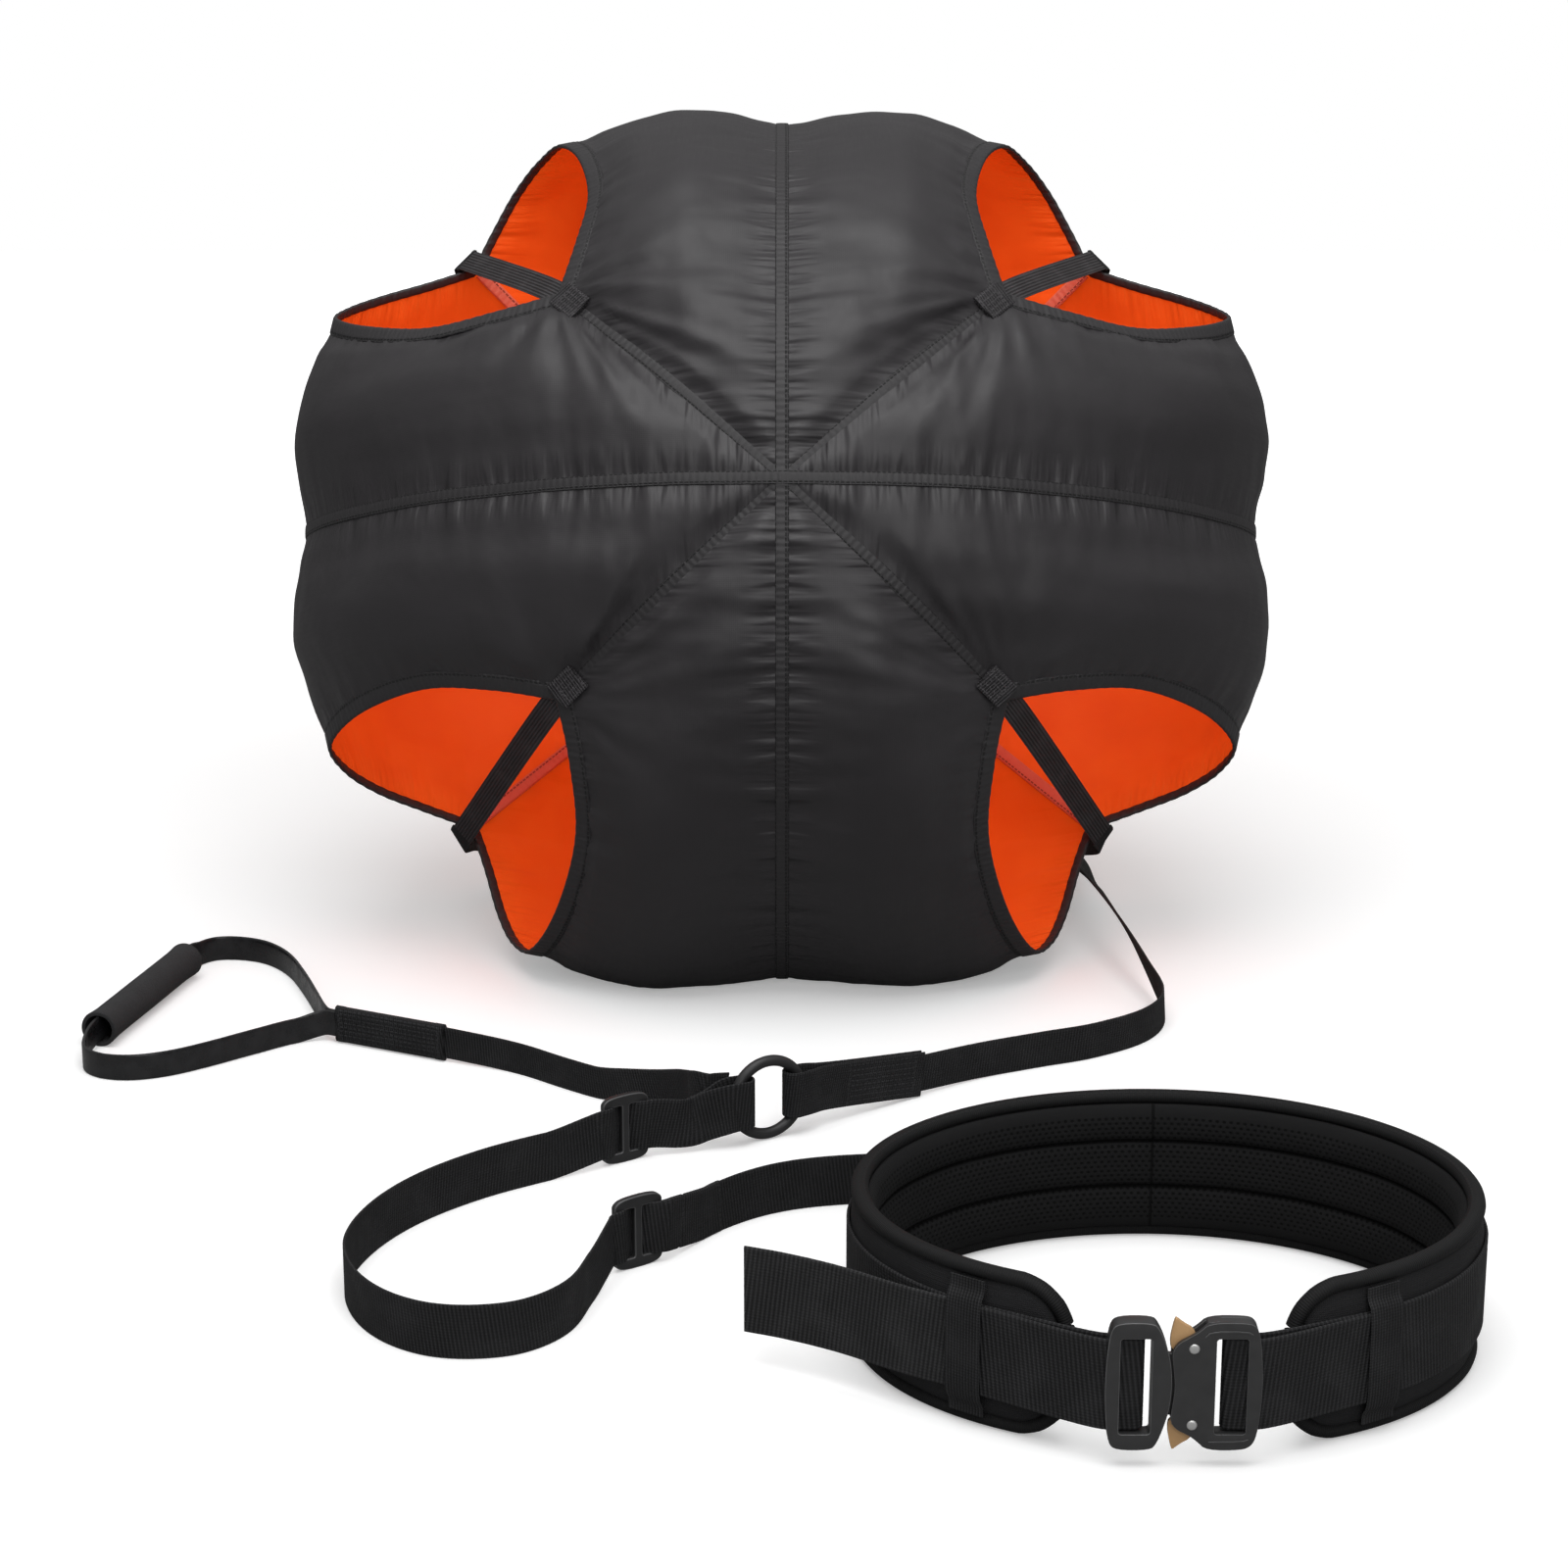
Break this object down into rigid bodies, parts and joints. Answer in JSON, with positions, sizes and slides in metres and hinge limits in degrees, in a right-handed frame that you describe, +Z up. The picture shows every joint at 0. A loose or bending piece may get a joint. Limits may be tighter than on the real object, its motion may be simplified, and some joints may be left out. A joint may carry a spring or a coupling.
{
  "type": "speed parachute",
  "caption": "Cross-shaped running parachute with corner vents, leash with steel ring, pull handle and padded waist belt with a two-lever buckle.",
  "frame": {"origin": "on the floor, under the middle of the box round the canopy, belt, buckle and handle", "axes": "+Z up, +Y from the belt toward the canopy's open mouth, +X to the right as pictured"},
  "size_m": [0.8514, 1.2738, 0.5808],
  "materials": {
    "black_ripstop": "satin coated ripstop",
    "orange_lining": "orange nylon, faint weave",
    "seam_tape": "folded tape, double stitched",
    "black_webbing": "ribbed nylon webbing",
    "black_rubber": "smooth, slightly glossy",
    "grip_foam": "fine matt foam",
    "pad_cloth": "woven nylon over foam",
    "spacer_mesh": "open spacer mesh",
    "black_plastic": "satin moulded",
    "black_steel": "black coated",
    "bronze": "brushed",
    "bright_steel": "polished"
  },
  "bodies": {
    "canopy": {"canopy_panel_right_low": "black_ripstop", "canopy_panel_right_high": "black_ripstop", "canopy_panel_top_low": "black_ripstop", "canopy_panel_top_high": "black_ripstop", "canopy_panel_left_low": "black_ripstop", "canopy_panel_left_high": "black_ripstop", "canopy_panel_bottom_low": "black_ripstop", "canopy_panel_bottom_high": "black_ripstop", "canopy_back_right": "orange_lining", "canopy_back_top": "orange_lining", "canopy_back_left": "orange_lining", "canopy_back_bottom": "orange_lining", "canopy_seam_tapes": "seam_tape", "vent_binding_upper_right": "seam_tape", "vent_binding_upper_left": "seam_tape", "vent_binding_lower_left": "seam_tape", "vent_binding_lower_right": "seam_tape", "mouth_binding": "seam_tape", "corner_strap_upper_right": "black_webbing", "corner_strap_upper_left": "black_webbing", "corner_strap_lower_left": "black_webbing", "corner_strap_lower_right": "black_webbing", "corner_tab_upper_right": "black_webbing", "corner_tab_upper_left": "black_webbing", "corner_tab_lower_left": "black_webbing", "corner_tab_lower_right": "black_webbing", "bridle_upper_right": "black_webbing", "bridle_upper_left": "black_webbing", "bridle_lower_left": "black_webbing", "bridle_lower_right": "black_webbing", "bridle_junction": "black_webbing", "tow_strap": "black_webbing", "tow_sleeve": "black_webbing"},
    "ring": {"pull_ring": "black_steel"},
    "leash_and_belt": {"leash": "black_webbing", "triglide_upper": "black_steel", "triglide_lower": "black_steel", "handle_strap": "black_webbing", "handle_sleeve": "black_webbing", "handle_loop": "black_rubber", "belt_pad": "pad_cloth", "belt_lining": "spacer_mesh", "belt_binding": "seam_tape", "anchor_patch": "black_webbing", "keeper_left": "black_webbing", "keeper_right": "black_webbing", "belt_webbing": "black_webbing", "belt_webbing_lead": "black_webbing", "belt_webbing_tail": "black_webbing", "buckle_female_body": "black_plastic", "rivet_top": "bright_steel", "rivet_bottom": "bright_steel", "buckle_female_pin": "bright_steel"},
    "grip": {"grip": "grip_foam"},
    "buckle_male": {"buckle_male_frame": "black_plastic", "buckle_tongue": "black_steel", "buckle_male_pin": "bright_steel"},
    "lever_top": {"release_lever_top": "bronze"},
    "lever_bottom": {"release_lever_bottom": "bronze"}
  },
  "joints": [
    {"name": "ring_swivel", "type": "hinge", "parent": "canopy", "child": "ring", "pos_m": [0.0564, -0.0753, 0.0275], "axis": [0, 0, 1], "range_deg": [-8, 8]},
    {"name": "leash_swivel", "type": "hinge", "parent": "ring", "child": "leash_and_belt", "pos_m": [0.0148, -0.0993, 0.0275], "axis": [0, 0, 1], "range_deg": [-8, 8]},
    {"name": "grip_spin", "type": "hinge", "parent": "leash_and_belt", "child": "grip", "pos_m": [-0.3959, 0.14425, 0.0125], "axis": [0.2419, 0.9703, 0], "continuous": true},
    {"name": "buckle_release", "type": "slide", "parent": "leash_and_belt", "child": "buckle_male", "axis": [-1, 0, 0], "range_m": [0, 0.026], "deforming": ["belt_webbing_lead"]},
    {"name": "lever_top_press", "type": "hinge", "parent": "leash_and_belt", "child": "lever_top", "pos_m": [0.25085, -0.52175, 0.066], "axis": [0, -1, 0], "range_deg": [0, 10], "stiffness_Nm_per_rad": 0.01, "springref_deg": -11.46},
    {"name": "lever_bottom_press", "type": "hinge", "parent": "leash_and_belt", "child": "lever_bottom", "pos_m": [0.25085, -0.52175, 0.024], "axis": [0, 1, 0], "range_deg": [0, 10], "stiffness_Nm_per_rad": 0.01, "springref_deg": -11.46}
  ]
}
